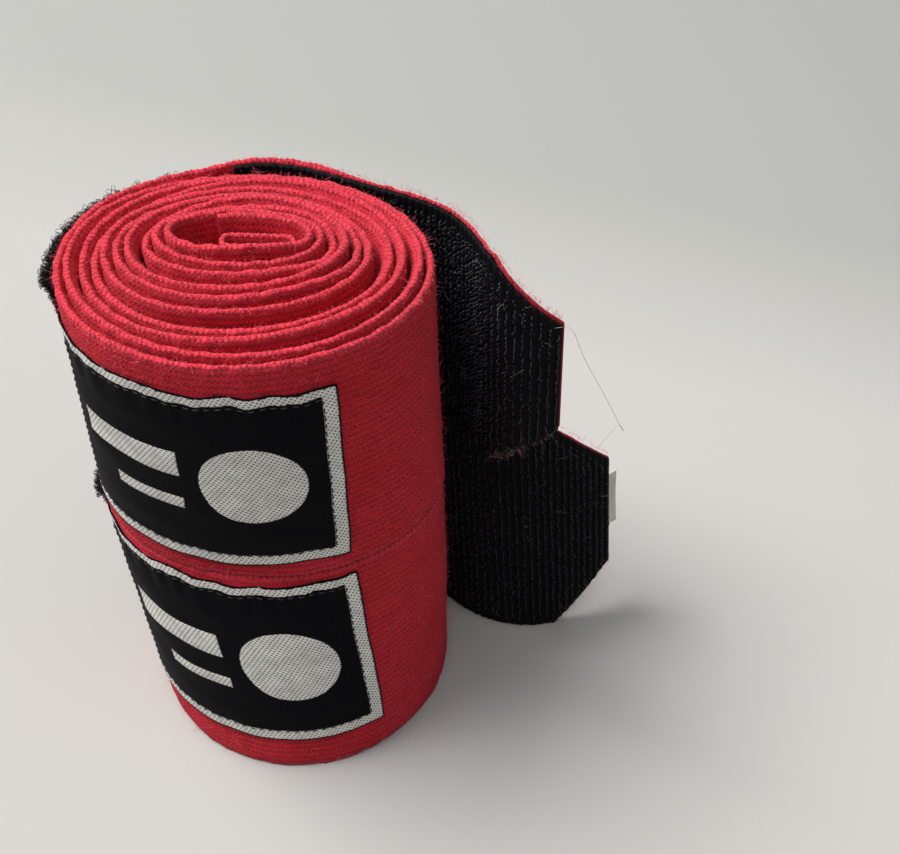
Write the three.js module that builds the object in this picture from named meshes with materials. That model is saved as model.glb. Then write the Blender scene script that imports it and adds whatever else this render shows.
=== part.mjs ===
// A pair of cotton hand wraps, each rolled up from its thumb loop and stood one on the other.
// Millimetres, +Z up. The origin is under the middle of the pair's box, on the surface they stand on.
import * as THREE from 'three'

// The bands
const BAND_WIDTH = 50
const BAND_THICKNESS = 1.4
const TURNS = 10
const PITCH = 2.1
const OUTER_OVAL = [31.3, 24.3]
const OVAL_TURN = -15
const STACK_GAP = 0.3
const ROLL_CENTRE = [-17.3, 3.7]

// The rolls' walls aren't plumb. At each height the oval is stretched along and across and shifted along
// itself. The line along the back, BACK from the centre, stays where it is.
const BACK = 24
const WALL = [
  { z: 0, along: 0.932, across: 1.22, shift: 3.6 },
  { z: 50, along: 1.015, across: 1.05, shift: 1.2 },
  { z: 100, along: 1, across: 1, shift: 1 },
]

// The free ends
const FLAP_LENGTH = 75
const FLAP_FREE_BY = 40
const LEAN_FROM = 15
const LEAN_BY = 52
const CHAMFER = 12
const HINGE_GAP = 1

// What is sewn on
const SEWN_GAP = 0.3
const THREAD = 0.35
const THREAD_GAP = 0.2
const HOOK_TAPE = { start: 8, margin: 0.6, thickness: 1.2 }
const LOOP_TAPE = { start: 4, end: 192, endLean: -14, margin: 2.5, thickness: 1.2 }
const LABEL = { start: 198, end: 303, height: 40, thickness: 0.5 }
const STITCH = { inset: 1.4, width: 0.6 }
const CORNER_DRAW_IN = 0.4
const CARE_TAG = { start: 73.3, end: 78.2, low: 20, high: 32.5, thickness: 0.4 }
const THUMB_LOOP = { straight: 9, radius: 1.3, offset: 2.4, thickness: 0.9, low: 16, high: 48.5 }
const BARTACK = { start: 16, end: 18.5, low: 24, high: 42, thickness: 0.35 }

// Fineness of the curved pieces
const STEPS_PER_TURN = 24
const SEWN_STEP = 3
const FLAP_STEP = 3

// The two wraps. hingeAngle is where the free end leaves the roll, headings are the directions that it
// takes at equal steps along it, and both are degrees anticlockwise from +X, seen from above. flapLean is
// how far the free end leans back for its height. raise is how far the innermost turn stands above the
// outermost, and labelLean is how many degrees the label's lower edge is set round from its upper edge.
// The loop tape's endLean is the same for its far end alone.
const WRAPS = [
  {
    name: 'lower',
    base: 0,
    raise: 0,
    hingeAngle: 98,
    headings: [-9, 1, -23, -47, -58, -55, -42, -25, -3, 11, 21],
    flapLean: 0.2,
    labelLow: 8,
    labelLean: 6,
    careTag: true,
  },
  {
    name: 'upper',
    base: BAND_WIDTH + STACK_GAP,
    raise: 7,
    hingeAngle: 114,
    headings: [4, 10, -17, -32, -37, -34, -41, -65, -78, -35, 2],
    flapLean: 0,
    labelLow: 3.5,
    labelLean: -1,
    careTag: false,
  },
]

const { degToRad, lerp, clamp, smoothstep } = THREE.MathUtils

// ---- Where the band runs ----

function wallAt(z) {
  const i = z < WALL[1].z ? 0 : 1
  const t = clamp((z - WALL[i].z) / (WALL[i + 1].z - WALL[i].z), 0, 1)
  const between = key => lerp(WALL[i][key], WALL[i + 1][key], t)
  return { along: between('along'), across: between('across'), shift: between('shift') }
}

// A point of the plan, along and across the oval, moved to where the wall has it at height z.
function leanWithWall(plan, z) {
  const wall = wallAt(z)
  const awayFromBack = 1 - clamp(plan.y / BACK, 0, 1) ** 2
  return new THREE.Vector2(
    plan.x + awayFromBack * (wall.shift + (wall.along - 1) * plan.x),
    BACK + wall.across * (plan.y - BACK)
  )
}

function turnPlan(point, degrees) {
  return point.rotateAround(new THREE.Vector2(), degToRad(degrees))
}

// The spiral of the roll, along and across the oval, after so many turns from the core outward.
function spiral(wrap, turn) {
  const angle = degToRad(wrap.hingeAngle) + 2 * Math.PI * (TURNS - turn)
  const inward = PITCH * (TURNS - turn)
  const u = (OUTER_OVAL[0] - inward) * Math.cos(angle)
  const w = (OUTER_OVAL[1] - inward) * Math.sin(angle)
  return new THREE.Vector2(u, w)
}

// The middle line of the rolled band. Its parameter counts the turns from the core outward.
function rollLine(wrap) {
  const at = (turn, z) => turnPlan(leanWithWall(spiral(wrap, turn), z), OVAL_TURN)
  const height = turn => wrap.base + wrap.raise * (1 - turn / TURNS)
  return { at, height, reach: 1e-3 }
}

// The turn count at an angle round the outermost turn.
function turnAt(wrap, degrees) {
  return TURNS - (degrees - wrap.hingeAngle) / 360
}

// The middle line of the free end. Its parameter is the distance from the hinge.
function flapLine(wrap) {
  const stride = 0.25
  const start = turnPlan(spiral(wrap, TURNS), OVAL_TURN)
  const spacing = FLAP_LENGTH / (wrap.headings.length - 1)
  const heading = s => {
    const i = clamp(Math.floor(s / spacing), 0, wrap.headings.length - 2)
    const t = clamp(s / spacing - i, 0, 1)
    return degToRad(lerp(wrap.headings[i], wrap.headings[i + 1], t))
  }
  const walk = [start]
  for (let s = 0; s < FLAP_LENGTH; s += stride) {
    const angle = heading(s + stride / 2)
    const step = new THREE.Vector2(Math.cos(angle), Math.sin(angle)).multiplyScalar(stride)
    walk.push(walk.at(-1).clone().add(step))
  }
  const middle = wrap.base + BAND_WIDTH / 2
  const walked = s => {
    const i = clamp(Math.floor(s / stride), 0, walk.length - 2)
    return walk[i].clone().lerp(walk[i + 1], s / stride - i)
  }
  const at = (s, z) => {
    const point = walked(s)
    const withWall = turnPlan(leanWithWall(turnPlan(point.clone(), -OVAL_TURN), z), OVAL_TURN)
    point.y += wrap.flapLean * (z - middle) * smoothstep(s, LEAN_FROM, LEAN_BY)
    return withWall.lerp(point, smoothstep(s, 0, FLAP_FREE_BY))
  }
  return { at, height: () => wrap.base, reach: stride }
}

// The middle line of the folded thumb loop, a closed racetrack in the core. Its parameter is a distance.
function thumbLoopLine(wrap) {
  const { straight, radius, offset } = THUMB_LOOP
  const arc = Math.PI * radius
  const at = (s, z) => {
    const length = 2 * (straight + arc)
    const along = ((s % length) + length) % length
    const side = along < straight + arc ? 1 : -1
    const rest = along % (straight + arc)
    const angle = Math.max(0, rest - straight) / radius
    const u = offset + side * (Math.min(rest, straight) - straight / 2 + radius * Math.sin(angle))
    const w = side * radius * Math.cos(angle)
    return turnPlan(leanWithWall(new THREE.Vector2(u, w), z), OVAL_TURN)
  }
  return { at, height: () => wrap.base + wrap.raise, reach: 0.05 }
}

// ---- Solids laid on a line ----

// The point at parameter p of a line, v up the band from its lower edge, and out from its middle line.
function onLine(line, p, v, out) {
  const z = line.height(p) + v
  const ahead = line.at(p + line.reach, z).sub(line.at(p - line.reach, z)).normalize()
  const point = line.at(p, z)
  return [point.x - ahead.y * out, point.y + ahead.x * out, z]
}

// A closed solid of stations that each have the same corners, in the same order. The diagonals of its
// inner and outer faces run alike, so that pieces laid on each other twist alike.
function solidThrough(stations, looped) {
  const corners = stations[0].length
  const index = []
  const spans = looped ? stations.length : stations.length - 1
  for (let i = 0; i < spans; i++) {
    const here = i * corners
    const next = ((i + 1) % stations.length) * corners
    for (let j = 0; j < corners; j++) {
      const k = (j + 1) % corners
      const [a, b, c, d] = [here + j, here + k, next + k, next + j]
      index.push(...(j < corners / 2 ? [a, c, d, a, b, c] : [a, b, d, b, c, d]))
    }
  }
  if (!looped) {
    const last = spans * corners
    for (let j = 1; j < corners - 1; j++) {
      index.push(0, j + 1, j, last, last + j, last + j + 1)
    }
  }
  const geometry = new THREE.BufferGeometry()
  geometry.setAttribute('position', new THREE.Float32BufferAttribute(stations.flat(2), 3))
  geometry.setIndex(index)
  geometry.computeVertexNormals()
  return geometry
}

// A strip along a line, from low to high up the band and from inner to outer of its middle line.
function strip(line, places, low, high, inner, outer, looped = false) {
  const stations = places.map(p => [
    onLine(line, p, low(p), inner),
    onLine(line, p, low(p), outer),
    onLine(line, p, high(p), outer),
    onLine(line, p, high(p), inner),
  ])
  return solidThrough(stations, looped)
}

// A seam that runs round a sewn piece: outline and inset hold matching corners as [parameter, height].
function seam(line, outline, inset, inner, outer, stride) {
  const stations = []
  outline.forEach((corner, i) => {
    const next = (i + 1) % outline.length
    const count = Math.max(1, Math.round(Math.abs(outline[next][0] - corner[0]) / stride))
    for (let j = 0; j < count; j++) {
      const blend = loop => loop[i].map((value, axis) => lerp(value, loop[next][axis], j / count))
      const [p, v] = blend(outline)
      const [q, w] = blend(inset)
      stations.push([
        onLine(line, p, v, inner),
        onLine(line, p, v, outer),
        onLine(line, q, w, outer),
        onLine(line, q, w, inner),
      ])
    }
  })
  return solidThrough(stations, true)
}

function evenly(from, to, stride) {
  const count = Math.max(1, Math.ceil(Math.abs(to - from) / stride))
  return Array.from({ length: count + 1 }, (_, i) => lerp(from, to, i / count))
}

// ---- Materials ----

const cotton = new THREE.MeshStandardMaterial({ color: 0xc4232f, roughness: 0.95 })
const cottonThread = new THREE.MeshStandardMaterial({ color: 0xa81c28, roughness: 0.8 })
const hookNylon = new THREE.MeshStandardMaterial({ color: 0x15161a, roughness: 0.6 })
const loopNylon = new THREE.MeshStandardMaterial({ color: 0x1b1b22, roughness: 0.9 })
const blackThread = new THREE.MeshStandardMaterial({ color: 0x0d0d10, roughness: 0.6 })
const satin = new THREE.MeshStandardMaterial({ color: 0x16161b, roughness: 0.45 })
const greyThread = new THREE.MeshStandardMaterial({ color: 0x4c4d50, roughness: 0.7 })
const paleTape = new THREE.MeshStandardMaterial({ color: 0xd8d6d0, roughness: 0.7 })

// ---- The pieces ----

const FACE = BAND_THICKNESS / 2
const pair = new THREE.Group()
pair.position.set(ROLL_CENTRE[0], ROLL_CENTRE[1], 0)

function add(name, geometry, material) {
  const mesh = new THREE.Mesh(geometry, material)
  mesh.name = name
  pair.add(mesh)
}

// Both corners of the free end are cut off, so its edges close in over its last CHAMFER.
function chamferAt(s, end) {
  return Math.max(0, s - (end - CHAMFER))
}

// The outline of the hook tape, drawn in by inset all round, which shortens its cut corners too.
function hookTapeOutline(inset) {
  const start = HOOK_TAPE.start + inset
  const end = FLAP_LENGTH - HOOK_TAPE.margin - inset
  const low = HOOK_TAPE.margin + inset
  const high = BAND_WIDTH - low
  const corner = CHAMFER - CORNER_DRAW_IN * inset
  return [
    [start, low],
    [end - corner, low],
    [end, low + corner],
    [end, high - corner],
    [end - corner, high],
    [start, high],
  ]
}

function addFlap(wrap) {
  const line = flapLine(wrap)
  const tapeEnd = FLAP_LENGTH - HOOK_TAPE.margin
  const ends = [HINGE_GAP, HOOK_TAPE.start, tapeEnd - CHAMFER, FLAP_LENGTH - CHAMFER, tapeEnd, FLAP_LENGTH]
  const places = [
    ends[0],
    ...ends.slice(1).flatMap((end, i) => evenly(ends[i], end, FLAP_STEP).slice(1)),
  ]
  const bandLow = s => chamferAt(s, FLAP_LENGTH)
  const bandHigh = s => BAND_WIDTH - bandLow(s)
  add(`${wrap.name}_band_flap`, strip(line, places, bandLow, bandHigh, -FACE, FACE), cotton)

  const tapeOuter = -FACE - SEWN_GAP
  const tapePlaces = places.filter(s => s >= HOOK_TAPE.start && s <= tapeEnd)
  const tapeLow = s => HOOK_TAPE.margin + chamferAt(s, tapeEnd)
  const tapeHigh = s => BAND_WIDTH - tapeLow(s)
  const tape = strip(line, tapePlaces, tapeLow, tapeHigh, tapeOuter - HOOK_TAPE.thickness, tapeOuter)
  add(`${wrap.name}_hook_tape`, tape, hookNylon)

  const seamInner = FACE + THREAD_GAP
  const outline = hookTapeOutline(STITCH.inset)
  const inset = hookTapeOutline(STITCH.inset + STITCH.width)
  const stitching = seam(line, outline, inset, seamInner, seamInner + THREAD, FLAP_STEP)
  add(`${wrap.name}_hook_tape_stitching`, stitching, cottonThread)

  if (wrap.careTag) {
    const tagInner = FACE + SEWN_GAP
    const tagOuter = tagInner + CARE_TAG.thickness
    const tagPlaces = evenly(CARE_TAG.start, CARE_TAG.end, FLAP_STEP)
    const tag = strip(line, tagPlaces, () => CARE_TAG.low, () => CARE_TAG.high, tagInner, tagOuter)
    add(`${wrap.name}_care_tag`, tag, paleTape)
  }
}

// A four-sided patch on the roll's outer face and the seam round it, between two angles. Its lower edge
// reaches startLean and endLean degrees past its upper edge at its two ends.
function addPatch(wrap, names, patch, low, high, startLean, endLean, materials) {
  const line = rollLine(wrap)
  const turnLength = Math.PI * (OUTER_OVAL[0] + OUTER_OVAL[1])
  const inner = FACE + SEWN_GAP
  const outer = inner + patch.thickness
  const corners = inset => {
    const along = (inset / turnLength) * 360
    const bottom = low + inset
    const top = high - inset
    const startAt = v => patch.start + along + (startLean * (high - v)) / (high - low)
    const endAt = v => patch.end - along + (endLean * (high - v)) / (high - low)
    return [
      [turnAt(wrap, startAt(top)), top],
      [turnAt(wrap, endAt(top)), top],
      [turnAt(wrap, endAt(bottom)), bottom],
      [turnAt(wrap, startAt(bottom)), bottom],
    ]
  }
  const stride = SEWN_STEP / turnLength
  const [topStart, topEnd, lowEnd, lowStart] = corners(0)
  const count = Math.ceil(Math.abs(topStart[0] - topEnd[0]) / stride)
  const stations = Array.from({ length: count + 1 }, (_, i) => {
    const top = lerp(topEnd[0], topStart[0], i / count)
    const bottom = lerp(lowEnd[0], lowStart[0], i / count)
    return [
      onLine(line, bottom, low, inner),
      onLine(line, bottom, low, outer),
      onLine(line, top, high, outer),
      onLine(line, top, high, inner),
    ]
  })
  add(names[0], solidThrough(stations, false), materials[0])

  const threadInner = outer + THREAD_GAP
  const outline = corners(STITCH.inset)
  const inset = corners(STITCH.inset + STITCH.width)
  const stitching = seam(line, outline, inset, threadInner, threadInner + THREAD, stride)
  add(names[1], stitching, materials[1])
}

function addThumbLoop(wrap) {
  const line = thumbLoopLine(wrap)
  const { straight, radius, thickness, low, high } = THUMB_LOOP
  const arc = Math.PI * radius
  const half = [0, straight / 2, ...evenly(straight, straight + arc, arc / 6).slice(0, -1)]
  const places = [...half, ...half.map(s => s + straight + arc)]
  const face = thickness / 2
  add(`${wrap.name}_thumb_loop`, strip(line, places, () => low, () => high, -face, face, true), cotton)

  const inner = face + THREAD_GAP
  const tackPlaces = [BARTACK.start, BARTACK.end]
  const tack = strip(
    line, tackPlaces, () => BARTACK.low, () => BARTACK.high, inner, inner + BARTACK.thickness
  )
  add(`${wrap.name}_thumb_loop_bartack`, tack, cottonThread)
}

for (const wrap of WRAPS) {
  const name = wrap.name
  const rolled = evenly(0, TURNS, 1 / STEPS_PER_TURN)
  const roll = strip(rollLine(wrap), rolled, () => 0, () => BAND_WIDTH, -FACE, FACE)
  add(`${name}_band_roll`, roll, cotton)
  addFlap(wrap)
  const loopTape = { ...LOOP_TAPE, start: wrap.hingeAngle + LOOP_TAPE.start }
  const loopHigh = BAND_WIDTH - LOOP_TAPE.margin
  const loopNames = [`${name}_loop_tape`, `${name}_loop_tape_stitching`]
  const tapeLooks = [loopNylon, blackThread]
  addPatch(wrap, loopNames, loopTape, LOOP_TAPE.margin, loopHigh, 0, LOOP_TAPE.endLean, tapeLooks)
  const labelNames = [`${name}_woven_label`, `${name}_label_stitching`]
  const { labelLow, labelLean } = wrap
  const labelHigh = labelLow + LABEL.height
  addPatch(wrap, labelNames, LABEL, labelLow, labelHigh, labelLean, labelLean, [satin, greyThread])
  addThumbLoop(wrap)
}

export default pair
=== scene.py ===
"""A pair of rolled cotton hand wraps, one stood on the other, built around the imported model.

Lengths are in millimetres until a mesh is made, which is in metres, as the frame is.
"""

import math
from dataclasses import dataclass
from typing import Callable

import bpy
import numpy as np
from mathutils import Matrix, Vector


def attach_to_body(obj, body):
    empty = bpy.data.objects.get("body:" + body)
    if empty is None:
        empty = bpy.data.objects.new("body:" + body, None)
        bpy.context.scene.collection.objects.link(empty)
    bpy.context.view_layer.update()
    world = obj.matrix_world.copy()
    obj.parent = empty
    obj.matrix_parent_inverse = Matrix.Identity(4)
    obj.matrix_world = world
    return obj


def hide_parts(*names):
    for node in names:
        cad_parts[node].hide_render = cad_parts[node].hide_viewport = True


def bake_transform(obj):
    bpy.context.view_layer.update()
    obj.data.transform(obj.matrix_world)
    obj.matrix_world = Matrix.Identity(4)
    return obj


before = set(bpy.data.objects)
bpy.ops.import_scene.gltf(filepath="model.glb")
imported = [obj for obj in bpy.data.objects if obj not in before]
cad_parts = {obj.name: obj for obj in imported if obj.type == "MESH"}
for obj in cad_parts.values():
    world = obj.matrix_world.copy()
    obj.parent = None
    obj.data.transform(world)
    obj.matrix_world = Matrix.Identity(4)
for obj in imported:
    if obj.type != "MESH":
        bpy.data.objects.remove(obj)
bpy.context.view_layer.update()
MM = 0.001

# ---- The wraps, as the frame has them ----

BAND_WIDTH = 50
BAND_THICKNESS = 1.4
TURNS = 10
PITCH = 2.1
OUTER_OVAL = (31.3, 24.3)
OVAL_TURN = -15
ROLL_CENTRE = (-17.3, 3.7)

# How the rolls' walls lean: the oval's stretch along and across itself and its shift, at three heights.
BACK = 24
WALL_Z = (0, 50, 100)
WALL_ALONG = (0.932, 1.015, 1)
WALL_ACROSS = (1.22, 1.05, 1)
WALL_SHIFT = (3.6, 1.2, 1)

FLAP_LENGTH = 75
FLAP_FREE_BY = 40
LEAN_FROM = 15
LEAN_BY = 52
CHAMFER = 12
FACE = BAND_THICKNESS / 2
# Where along the free ends the two wraps' pass each other, and over what length.
PASSING, PASSING_WIDTH = 42, 7

HOOK_TAPE = {"start": 8, "margin": 0.4, "base": 0.5, "height": 1.5}
LOOP_TAPE = {
    "start": 4, "end": 192, "end_lean": -14, "margin": 2.5, "top_margin": 1.5, "base": 0.45, "height": 2.0,
}
LABEL = {"start": 198, "end": 303, "height": 40}
STITCH_INSET = 1.7
LABEL_STITCH = 2.5
CARE_TAG = {"start": 70, "end": 77.3, "low": 20, "high": 32.5, "thickness": 0.25}
THUMB_LOOP = {"straight": 9, "radius": 1.3, "offset": 2.4, "thickness": 0.9, "low": 16, "high": 48.5}
LOOP_SUNK = 0.6
BARTACK = {"start": 16, "end": 18.5, "low": 24, "high": 42}

# headings is where the free end goes in plan and flap_lean tilts it. flap_rise lifts its upper part where it
# passes the other wrap's, and tucked draws in its edges under the hook tape. frayed counts the fibres on it.
# Each of gaps is a place where the turns stand apart: see slack().
WRAPS = [
    {
        "name": "lower", "base": 0, "raise": 0, "hinge_angle": 98, "seed": 100,
        "headings": (-9, 1, -23, -47, -58, -55, -42, -25, -3, 11, 21),
        "flap_lean": 0.2, "flap_rise": 1.5, "tucked": 0.55, "frayed": 350,
        "label_low": 8, "label_lean": 6, "care_tag": True, "loose_thread": False,
        "gaps": ((3, 60, 60, 1.2), (2, 200, 60, 0.9), (5, -40, 60, 1.0), (7, 150, 60, 0.6)),
    },
    {
        "name": "upper", "base": 50.3, "raise": 7, "hinge_angle": 114, "seed": 200,
        "headings": (4, 10, -17, -32, -37, -34, -41, -65, -78, -35, 2),
        "flap_lean": 0, "flap_rise": 0, "tucked": 0.1, "frayed": 850,
        "label_low": 3.5, "label_lean": -1, "care_tag": False, "loose_thread": True,
        "gaps": (
            (4, -22, 52, 1.9), (2, -12, 48, 0.8), (1, 150, 42, 1.1), (3, 50, 50, 0.7), (6, 205, 60, 0.6),
            (7, 90, 60, 0.5),
        ),
    },
]


# ---- Noise ----


def smoothstep(x, low, high):
    t = np.clip((x - low) / (high - low), 0, 1)
    return t * t * (3 - 2 * t)


def hump(x, width):
    return np.exp(-(x / width) ** 2)


def ripples(points, wavelength, seed, count=10):
    """Smooth noise, mostly from -1 to 1, at each point: plane waves of about that wavelength."""
    rng = np.random.default_rng(seed)
    points = np.asarray(points, float)
    total = np.zeros(points.shape[:-1])
    for _ in range(count):
        direction = rng.normal(size=points.shape[-1])
        direction *= 2 * math.pi / (np.linalg.norm(direction) * wavelength * rng.uniform(0.7, 1.5))
        total += np.cos(points @ direction + rng.uniform(0, 2 * math.pi))
    return total / math.sqrt(count)


def ripples_along(x, wavelength, seed):
    return ripples(np.stack([x, 0 * x], -1), wavelength, seed)


# ---- Where the band runs ----


@dataclass
class Line:
    """The middle line of a band: where it is in plan at (p, z), and the height of its lower edge at p."""

    at: Callable
    height: Callable
    reach: float


def turn_plan(x, y, degrees):
    c, s = math.cos(math.radians(degrees)), math.sin(math.radians(degrees))
    return c * x - s * y, s * x + c * y


def lean_with_wall(u, w, z):
    along, across, shift = (np.interp(z, WALL_Z, row) for row in (WALL_ALONG, WALL_ACROSS, WALL_SHIFT))
    away_from_back = 1 - np.clip(w / BACK, 0, 1) ** 2
    return u + away_from_back * (shift + (along - 1) * u), BACK + across * (w - BACK)


def spiral(wrap, turn):
    angle = math.radians(wrap["hinge_angle"]) + 2 * math.pi * (TURNS - turn)
    inward = PITCH * (TURNS - turn)
    return (OUTER_OVAL[0] - inward) * np.cos(angle), (OUTER_OVAL[1] - inward) * np.sin(angle)


def roll_line(wrap):
    def at(turn, z):
        return turn_plan(*lean_with_wall(*spiral(wrap, turn), z), OVAL_TURN)

    return Line(at, lambda turn: wrap["base"] + wrap["raise"] * (1 - turn / TURNS), 1e-3)


def flap_line(wrap):
    stride = 0.25
    steps = np.arange(0, FLAP_LENGTH, stride) + stride / 2
    spacing = np.linspace(0, FLAP_LENGTH, len(wrap["headings"]))
    heading = np.radians(np.interp(steps, spacing, wrap["headings"]))
    start = turn_plan(*spiral(wrap, TURNS), OVAL_TURN)
    walk_x = start[0] + stride * np.concatenate([[0], np.cumsum(np.cos(heading))])
    walk_y = start[1] + stride * np.concatenate([[0], np.cumsum(np.sin(heading))])
    middle = wrap["base"] + BAND_WIDTH / 2

    def walked(s):
        i = np.clip(np.floor(s / stride), 0, len(steps) - 1).astype(int)
        t = s / stride - i
        return walk_x[i] * (1 - t) + walk_x[i + 1] * t, walk_y[i] * (1 - t) + walk_y[i + 1] * t

    def at(s, z):
        s, z = np.broadcast_arrays(np.asarray(s, float), np.asarray(z, float))
        x, y = walked(s)
        wall_x, wall_y = turn_plan(*lean_with_wall(*turn_plan(x, y, -OVAL_TURN), z), OVAL_TURN)
        y = y + wrap["flap_lean"] * (z - middle) * smoothstep(s, LEAN_FROM, LEAN_BY)
        free = smoothstep(s, 0, FLAP_FREE_BY)
        return wall_x + (x - wall_x) * free, wall_y + (y - wall_y) * free

    return Line(at, lambda s: wrap["base"] + 0 * np.asarray(s, float), stride)


def thumb_loop_line(wrap):
    straight, radius = THUMB_LOOP["straight"], THUMB_LOOP["radius"]
    half = straight + math.pi * radius

    def at(s, z):
        along = np.mod(s, 2 * half)
        side = np.where(along < half, 1, -1)
        rest = np.mod(along, half)
        angle = np.maximum(0, rest - straight) / radius
        from_middle = np.minimum(rest, straight) - straight / 2 + radius * np.sin(angle)
        u = THUMB_LOOP["offset"] + side * from_middle
        w = side * radius * np.cos(angle)
        return turn_plan(*lean_with_wall(u, w, z), OVAL_TURN)

    return Line(at, lambda s: wrap["base"] + wrap["raise"] - LOOP_SUNK + 0 * np.asarray(s, float), 0.05)


def flap_rise(wrap, s, v):
    """How far the free end's upper part rides up where the two wraps' free ends pass each other."""
    return wrap["flap_rise"] * hump(s - PASSING, PASSING_WIDTH) * (np.clip(v, 0, None) / BAND_WIDTH) ** 4


def on_line(line, p, v, out):
    """Points at p along a line, v up the band from its lower edge, and out from its middle line."""
    p, v, out = np.broadcast_arrays(*(np.asarray(value, float) for value in (p, v, out)))
    z = line.height(p) + v
    before, after = line.at(p - line.reach, z), line.at(p + line.reach, z)
    dx, dy = after[0] - before[0], after[1] - before[1]
    length = np.hypot(dx, dy)
    x, y = line.at(p, z)
    x = x - dy / length * out + ROLL_CENTRE[0]
    y = y + dx / length * out + ROLL_CENTRE[1]
    return np.stack([x, y, z], axis=-1)


class Unrolled:
    """A line measured by distance along it at mid height, so that what lies on it keeps its true size."""

    def __init__(self, line, start, end, samples=6000):
        self.line = line
        self.places = np.linspace(start, end, samples)
        middle = on_line(line, self.places, BAND_WIDTH / 2, 0)
        self.distance = np.concatenate([[0], np.cumsum(np.linalg.norm(np.diff(middle, axis=0), axis=1))])
        self.length = self.distance[-1]

    def place(self, distance):
        return np.interp(distance, self.distance, self.places)

    def distance_to(self, place):
        return np.interp(place, self.places, self.distance)


def facing(wrap, degrees):
    """The place on the outermost turn at that angle, which counts in the oval's own axes."""
    return TURNS - (degrees - wrap["hinge_angle"]) / 360


# ---- Meshes ----


def new_piece(name, points, faces, cloth, material):
    """A mesh in metres from points in millimetres. cloth is where each point lies on the flat cloth."""
    mesh = bpy.data.meshes.new(name)
    mesh.from_pydata((np.asarray(points).reshape(-1, 3) * MM).tolist(), [], faces)
    mesh.polygons.foreach_set("use_smooth", np.ones(len(mesh.polygons), bool))
    attribute = mesh.attributes.new("cloth", "FLOAT_VECTOR", "POINT")
    attribute.data.foreach_set("vector", np.asarray(cloth, np.float32).ravel())
    mesh.materials.append(material)
    mesh.validate()
    piece = bpy.data.objects.new(name, mesh)
    bpy.context.scene.collection.objects.link(piece)
    return piece


def attach(piece, wrap, part, node=None):
    """Gives a piece the wrap's body of that part, and hides the CAD node that it stands for."""
    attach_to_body(piece, f"{wrap['name']}_{part}")
    if node:
        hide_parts(f"{wrap['name']}_{node}")
    return piece


def tube_faces(stations, corners):
    """Faces of a closed skin through stations that each have the same ring of corners, with end caps."""
    i, j = np.meshgrid(np.arange(stations - 1), np.arange(corners), indexing="ij")
    k = (j + 1) % corners
    quads = np.stack([i * corners + j, i * corners + k, (i + 1) * corners + k, (i + 1) * corners + j], -1)
    last = (stations - 1) * corners
    caps = [list(range(corners))[::-1], [last + c for c in range(corners)]]
    return quads.reshape(-1, 4).tolist() + caps


def grid_faces(rows, columns):
    i, j = np.meshgrid(np.arange(rows - 1), np.arange(columns - 1), indexing="ij")
    corner = i * columns + j
    return np.stack([corner, corner + 1, corner + columns + 1, corner + columns], -1).reshape(-1, 4)


def sheet_faces(rows, columns):
    """Faces of a closed thin slab: a front grid of rows by columns, and after it the back grid."""
    front = grid_faces(rows, columns)
    back = front[:, ::-1] + rows * columns
    rim = np.concatenate([
        np.arange(columns - 1),
        np.arange(rows - 1) * columns + columns - 1,
        (rows - 1) * columns + np.arange(columns - 1, 0, -1),
        np.arange(rows - 1, 0, -1) * columns,
    ])
    after = np.roll(rim, -1)
    sides = np.stack([after, rim, rim + rows * columns, after + rows * columns], -1)
    return np.concatenate([front, back, sides]).tolist()


def threads(paths, radius, plane, sides=4):
    """Points and faces of many thin tubes. paths is (threads, stations, 3), plane is each one's side vector,
    and radius is one number or one for each station."""
    count, stations, _ = paths.shape
    tangent = np.gradient(paths, axis=1)
    tangent /= np.linalg.norm(tangent, axis=2, keepdims=True) + 1e-9
    side = np.broadcast_to(plane[:, None, :], paths.shape)
    side = side - (side * tangent).sum(2, keepdims=True) * tangent
    side /= np.linalg.norm(side, axis=2, keepdims=True) + 1e-9
    across = np.cross(tangent, side)
    angle = np.arange(sides) * 2 * math.pi / sides
    ring = np.cos(angle)[:, None] * side[:, :, None, :] + np.sin(angle)[:, None] * across[:, :, None, :]
    radius = np.broadcast_to(np.asarray(radius, float), (stations,))
    points = paths[:, :, None, :] + ring * radius[None, :, None, None]
    one = tube_faces(stations, sides)
    size = stations * sides
    quads = np.array(one[:-2])
    shift = (np.arange(count) * size)[:, None, None]
    faces = (quads[None] + shift).reshape(-1, 4).tolist()
    for cap in one[-2:]:
        faces += (np.array(cap)[None] + shift[:, :, 0]).tolist()
    return points.reshape(-1, 3), faces


def flat_cloth(s, v):
    return np.stack([s, v, 0 * v], -1)


def unit(vectors):
    return vectors / (np.linalg.norm(vectors, axis=-1, keepdims=True) + 1e-12)


def outward(line, p, v):
    return on_line(line, p, v, 1) - on_line(line, p, v, 0)


# ---- Materials ----


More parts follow.
